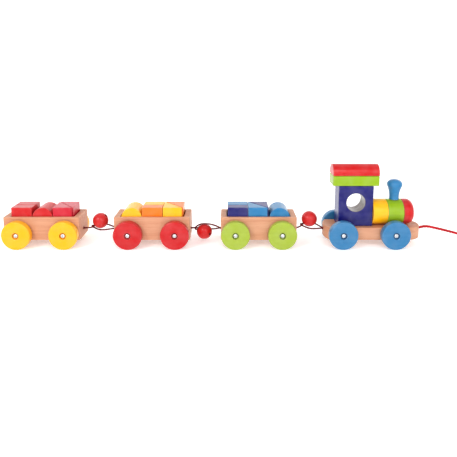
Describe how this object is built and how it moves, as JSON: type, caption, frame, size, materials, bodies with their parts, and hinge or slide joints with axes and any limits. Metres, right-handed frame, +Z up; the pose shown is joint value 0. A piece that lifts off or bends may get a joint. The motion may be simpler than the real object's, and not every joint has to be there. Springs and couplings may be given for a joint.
{
  "type": "pull along train",
  "caption": "Wooden pull along train: a locomotive of stacked coloured blocks, wagons with building blocks, bead and loop couplings and a pull cord.",
  "frame": {"origin": "on the floor under the middle of the train's length and width", "axes": "+X along the train towards the pull cord, +Y to the train's left side, +Z up; the wheels stand on Z = 0"},
  "size_m": [0.7124, 0.0744, 0.1155],
  "materials": {
    "beech": "oiled beech",
    "red": "red lacquer on beech",
    "crimson": "crimson lacquer on beech",
    "orange": "orange lacquer on beech",
    "yellow": "yellow lacquer on beech",
    "wheel_yellow": "yellow lacquer on beech",
    "wheel_red": "red lacquer on beech",
    "wheel_green": "light green lacquer on beech",
    "wheel_blue": "light blue lacquer on beech",
    "green": "green lacquer on beech",
    "navy": "navy lacquer on beech",
    "light_blue": "light blue lacquer on beech",
    "peg": "plain beech dowel",
    "nickel": "bright nickel",
    "cord_dark": "waxed dark red cord",
    "cord_red": "twisted red cord"
  },
  "bodies": {
    "chassis": {"loco_base": "beech", "loco_base_peg": "peg", "loco_axle_screws": "nickel", "pull_cord": "cord_red", "pull_cord_coil": "cord_red", "pull_bead": "red"},
    "loco_wheel_rear_left": {"loco_wheel_rear_left": "wheel_blue"},
    "loco_wheel_rear_right": {"loco_wheel_rear_right": "wheel_blue"},
    "loco_wheel_front_left": {"loco_wheel_front_left": "wheel_blue"},
    "loco_wheel_front_right": {"loco_wheel_front_right": "wheel_blue"},
    "cab": {"cab_block": "navy", "cab_pegs": "peg"},
    "roof_slab": {"roof_slab": "green"},
    "roof_bar": {"roof_bar": "red"},
    "boiler_disc_rear": {"boiler_disc_rear": "yellow"},
    "boiler_disc_front": {"boiler_disc_front": "green"},
    "boiler_nose": {"boiler_nose": "red"},
    "chimney": {"chimney": "light_blue"},
    "coupling_3": {"coupling_3_loop": "cord_dark", "coupling_3_cord": "cord_dark", "coupling_3_bead": "red"},
    "wagon_3": {"wagon_3_body": "beech", "wagon_3_axle_screws": "nickel"},
    "wagon_3_wheel_rear_left": {"wagon_3_wheel_rear_left": "wheel_green"},
    "wagon_3_wheel_rear_right": {"wagon_3_wheel_rear_right": "wheel_green"},
    "wagon_3_wheel_front_left": {"wagon_3_wheel_front_left": "wheel_green"},
    "wagon_3_wheel_front_right": {"wagon_3_wheel_front_right": "wheel_green"},
    "wagon_3_box_left": {"wagon_3_box_left": "light_blue"},
    "wagon_3_box_right": {"wagon_3_box_right": "navy"},
    "wagon_3_cylinder": {"wagon_3_cylinder": "light_blue"},
    "wagon_3_prism_left": {"wagon_3_prism_left": "navy"},
    "wagon_3_prism_right": {"wagon_3_prism_right": "light_blue"},
    "coupling_2": {"coupling_2_loop": "cord_dark", "coupling_2_cord": "cord_dark", "coupling_2_bead": "red"},
    "wagon_2": {"wagon_2_body": "beech", "wagon_2_axle_screws": "nickel"},
    "wagon_2_wheel_rear_left": {"wagon_2_wheel_rear_left": "wheel_red"},
    "wagon_2_wheel_rear_right": {"wagon_2_wheel_rear_right": "wheel_red"},
    "wagon_2_wheel_front_left": {"wagon_2_wheel_front_left": "wheel_red"},
    "wagon_2_wheel_front_right": {"wagon_2_wheel_front_right": "wheel_red"},
    "wagon_2_box_left": {"wagon_2_box_left": "yellow"},
    "wagon_2_box_right": {"wagon_2_box_right": "orange"},
    "wagon_2_cylinder": {"wagon_2_cylinder": "yellow"},
    "wagon_2_prism_left": {"wagon_2_prism_left": "orange"},
    "wagon_2_prism_right": {"wagon_2_prism_right": "yellow"},
    "coupling_1": {"coupling_1_loop": "cord_dark", "coupling_1_cord": "cord_dark", "coupling_1_bead": "red"},
    "wagon_1": {"wagon_1_body": "beech", "wagon_1_axle_screws": "nickel"},
    "wagon_1_wheel_rear_left": {"wagon_1_wheel_rear_left": "wheel_yellow"},
    "wagon_1_wheel_rear_right": {"wagon_1_wheel_rear_right": "wheel_yellow"},
    "wagon_1_wheel_front_left": {"wagon_1_wheel_front_left": "wheel_yellow"},
    "wagon_1_wheel_front_right": {"wagon_1_wheel_front_right": "wheel_yellow"},
    "wagon_1_box_left": {"wagon_1_box_left": "red"},
    "wagon_1_box_right": {"wagon_1_box_right": "red"},
    "wagon_1_cylinder": {"wagon_1_cylinder": "red"},
    "wagon_1_prism_left": {"wagon_1_prism_left": "crimson"},
    "wagon_1_prism_right": {"wagon_1_prism_right": "crimson"}
  },
  "joints": [
    {"name": "loco_wheel_rear_left_spin", "type": "hinge", "parent": "chassis", "child": "loco_wheel_rear_left", "pos_m": [0.1799, 0.025, 0.02], "axis": [0, 1, 0], "continuous": true},
    {"name": "loco_wheel_rear_right_spin", "type": "hinge", "parent": "chassis", "child": "loco_wheel_rear_right", "pos_m": [0.1799, -0.025, 0.02], "axis": [0, 1, 0], "continuous": true},
    {"name": "loco_wheel_front_left_spin", "type": "hinge", "parent": "chassis", "child": "loco_wheel_front_left", "pos_m": [0.2523, 0.025, 0.02], "axis": [0, 1, 0], "continuous": true},
    {"name": "loco_wheel_front_right_spin", "type": "hinge", "parent": "chassis", "child": "loco_wheel_front_right", "pos_m": [0.2523, -0.025, 0.02], "axis": [0, 1, 0], "continuous": true},
    {"name": "cab_lift", "type": "slide", "parent": "chassis", "child": "cab", "axis": [0, 0, 1], "range_m": [0, 0.02]},
    {"name": "roof_slab_lift", "type": "slide", "parent": "cab", "child": "roof_slab", "axis": [0, 0, 1], "range_m": [0, 0.025]},
    {"name": "roof_bar_lift", "type": "slide", "parent": "roof_slab", "child": "roof_bar", "axis": [0, 0, 1], "range_m": [0, 0.012]},
    {"name": "rear_disc_pull", "type": "slide", "parent": "cab", "child": "boiler_disc_rear", "axis": [1, 0, 0], "range_m": [0, 0.055]},
    {"name": "front_disc_pull", "type": "slide", "parent": "boiler_disc_rear", "child": "boiler_disc_front", "axis": [1, 0, 0], "range_m": [0, 0.035]},
    {"name": "nose_pull", "type": "slide", "parent": "boiler_disc_front", "child": "boiler_nose", "axis": [1, 0, 0], "range_m": [0, 0.014]},
    {"name": "chimney_lift", "type": "slide", "parent": "boiler_disc_front", "child": "chimney", "axis": [0, 0, 1], "range_m": [0, 0.012]},
    {"name": "coupling_3_front_swing", "type": "hinge", "parent": "chassis", "child": "coupling_3", "pos_m": [0.1562, 0, 0.0215], "axis": [0, 0, 1], "range_deg": [-30, 30]},
    {"name": "coupling_3_rear_swing", "type": "hinge", "parent": "coupling_3", "child": "wagon_3", "pos_m": [0.1147, 0, 0.0215], "axis": [0, 0, 1], "range_deg": [-30, 30]},
    {"name": "wagon_3_wheel_rear_left_spin", "type": "hinge", "parent": "wagon_3", "child": "wagon_3_wheel_rear_left", "pos_m": [0.0306, 0.025, 0.02], "axis": [0, 1, 0], "continuous": true},
    {"name": "wagon_3_wheel_rear_right_spin", "type": "hinge", "parent": "wagon_3", "child": "wagon_3_wheel_rear_right", "pos_m": [0.0306, -0.025, 0.02], "axis": [0, 1, 0], "continuous": true},
    {"name": "wagon_3_wheel_front_left_spin", "type": "hinge", "parent": "wagon_3", "child": "wagon_3_wheel_front_left", "pos_m": [0.0956, 0.025, 0.02], "axis": [0, 1, 0], "continuous": true},
    {"name": "wagon_3_wheel_front_right_spin", "type": "hinge", "parent": "wagon_3", "child": "wagon_3_wheel_front_right", "pos_m": [0.0956, -0.025, 0.02], "axis": [0, 1, 0], "continuous": true},
    {"name": "wagon_3_box_left_lift", "type": "slide", "parent": "wagon_3", "child": "wagon_3_box_left", "axis": [0, 0, 1], "range_m": [0, 0.035]},
    {"name": "wagon_3_box_right_lift", "type": "slide", "parent": "wagon_3", "child": "wagon_3_box_right", "axis": [0, 0, 1], "range_m": [0, 0.035]},
    {"name": "wagon_3_cylinder_lift", "type": "slide", "parent": "wagon_3", "child": "wagon_3_cylinder", "axis": [0, 0, 1], "range_m": [0, 0.035]},
    {"name": "wagon_3_prism_left_lift", "type": "slide", "parent": "wagon_3", "child": "wagon_3_prism_left", "axis": [0, 0, 1], "range_m": [0, 0.035]},
    {"name": "wagon_3_prism_right_lift", "type": "slide", "parent": "wagon_3", "child": "wagon_3_prism_right", "axis": [0, 0, 1], "range_m": [0, 0.035]},
    {"name": "coupling_2_front_swing", "type": "hinge", "parent": "wagon_3", "child": "coupling_2", "pos_m": [0.0102, 0, 0.0215], "axis": [0, 0, 1], "range_deg": [-30, 30]},
    {"name": "coupling_2_rear_swing", "type": "hinge", "parent": "coupling_2", "child": "wagon_2", "pos_m": [-0.0345, 0, 0.0215], "axis": [0, 0, 1], "range_deg": [-30, 30]},
    {"name": "wagon_2_wheel_rear_left_spin", "type": "hinge", "parent": "wagon_2", "child": "wagon_2_wheel_rear_left", "pos_m": [-0.1186, 0.025, 0.02], "axis": [0, 1, 0], "continuous": true},
    {"name": "wagon_2_wheel_rear_right_spin", "type": "hinge", "parent": "wagon_2", "child": "wagon_2_wheel_rear_right", "pos_m": [-0.1186, -0.025, 0.02], "axis": [0, 1, 0], "continuous": true},
    {"name": "wagon_2_wheel_front_left_spin", "type": "hinge", "parent": "wagon_2", "child": "wagon_2_wheel_front_left", "pos_m": [-0.0536, 0.025, 0.02], "axis": [0, 1, 0], "continuous": true},
    {"name": "wagon_2_wheel_front_right_spin", "type": "hinge", "parent": "wagon_2", "child": "wagon_2_wheel_front_right", "pos_m": [-0.0536, -0.025, 0.02], "axis": [0, 1, 0], "continuous": true},
    {"name": "wagon_2_box_left_lift", "type": "slide", "parent": "wagon_2", "child": "wagon_2_box_left", "axis": [0, 0, 1], "range_m": [0, 0.035]},
    {"name": "wagon_2_box_right_lift", "type": "slide", "parent": "wagon_2", "child": "wagon_2_box_right", "axis": [0, 0, 1], "range_m": [0, 0.035]},
    {"name": "wagon_2_cylinder_lift", "type": "slide", "parent": "wagon_2", "child": "wagon_2_cylinder", "axis": [0, 0, 1], "range_m": [0, 0.035]},
    {"name": "wagon_2_prism_left_lift", "type": "slide", "parent": "wagon_2", "child": "wagon_2_prism_left", "axis": [0, 0, 1], "range_m": [0, 0.035]},
    {"name": "wagon_2_prism_right_lift", "type": "slide", "parent": "wagon_2", "child": "wagon_2_prism_right", "axis": [0, 0, 1], "range_m": [0, 0.035]},
    {"name": "coupling_1_front_swing", "type": "hinge", "parent": "wagon_2", "child": "coupling_1", "pos_m": [-0.1389, 0, 0.0215], "axis": [0, 0, 1], "range_deg": [-30, 30]},
    {"name": "coupling_1_rear_swing", "type": "hinge", "parent": "coupling_1", "child": "wagon_1", "pos_m": [-0.1884, 0, 0.0215], "axis": [0, 0, 1], "range_deg": [-30, 30]},
    {"name": "wagon_1_wheel_rear_left_spin", "type": "hinge", "parent": "wagon_1", "child": "wagon_1_wheel_rear_left", "pos_m": [-0.2725, 0.025, 0.02], "axis": [0, 1, 0], "continuous": true},
    {"name": "wagon_1_wheel_rear_right_spin", "type": "hinge", "parent": "wagon_1", "child": "wagon_1_wheel_rear_right", "pos_m": [-0.2725, -0.025, 0.02], "axis": [0, 1, 0], "continuous": true},
    {"name": "wagon_1_wheel_front_left_spin", "type": "hinge", "parent": "wagon_1", "child": "wagon_1_wheel_front_left", "pos_m": [-0.2075, 0.025, 0.02], "axis": [0, 1, 0], "continuous": true},
    {"name": "wagon_1_wheel_front_right_spin", "type": "hinge", "parent": "wagon_1", "child": "wagon_1_wheel_front_right", "pos_m": [-0.2075, -0.025, 0.02], "axis": [0, 1, 0], "continuous": true},
    {"name": "wagon_1_box_left_lift", "type": "slide", "parent": "wagon_1", "child": "wagon_1_box_left", "axis": [0, 0, 1], "range_m": [0, 0.035]},
    {"name": "wagon_1_box_right_lift", "type": "slide", "parent": "wagon_1", "child": "wagon_1_box_right", "axis": [0, 0, 1], "range_m": [0, 0.035]},
    {"name": "wagon_1_cylinder_lift", "type": "slide", "parent": "wagon_1", "child": "wagon_1_cylinder", "axis": [0, 0, 1], "range_m": [0, 0.035]},
    {"name": "wagon_1_prism_left_lift", "type": "slide", "parent": "wagon_1", "child": "wagon_1_prism_left", "axis": [0, 0, 1], "range_m": [0, 0.035]},
    {"name": "wagon_1_prism_right_lift", "type": "slide", "parent": "wagon_1", "child": "wagon_1_prism_right", "axis": [0, 0, 1], "range_m": [0, 0.035]}
  ]
}
